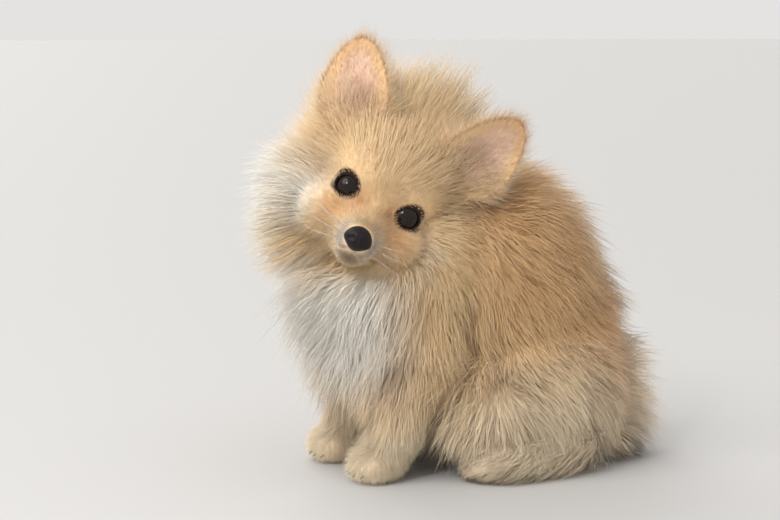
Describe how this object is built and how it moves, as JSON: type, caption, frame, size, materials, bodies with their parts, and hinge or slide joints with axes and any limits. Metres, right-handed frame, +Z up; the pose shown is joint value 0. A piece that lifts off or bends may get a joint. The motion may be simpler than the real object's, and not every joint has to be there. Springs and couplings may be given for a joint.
{
  "type": "sitting pomeranian puppy model",
  "caption": "Life-size still model of a fluffy Pomeranian puppy, sitting with its head turned and tilted; display figure.",
  "frame": {"origin": "on the floor, under the middle of the model's bounding box", "axes": "+Z up; the chest faces -Y and the puppy's own left is +X; the face is turned 65 degrees to its left"},
  "size_m": [0.1256, 0.1972, 0.1997],
  "materials": {
    "coat_gold": "soft fluffy fur, golden sable",
    "coat_cream": "soft fluffy fur, cream",
    "coat_white": "soft fluffy fur, white",
    "nose_leather": "moist black nose leather",
    "eye": "wet, very dark brown eye"
  },
  "bodies": {
    "root": {"head": "coat_gold", "ear_left": "coat_gold", "ear_right": "coat_gold", "nose": "nose_leather", "eye_left": "eye", "eye_right": "eye", "neck": "coat_white", "torso": "coat_gold", "foreleg_left": "coat_cream", "foreleg_right": "coat_cream", "hindleg_left": "coat_cream", "hindleg_right": "coat_cream", "tail": "coat_cream"}
  },
  "joints": []
}
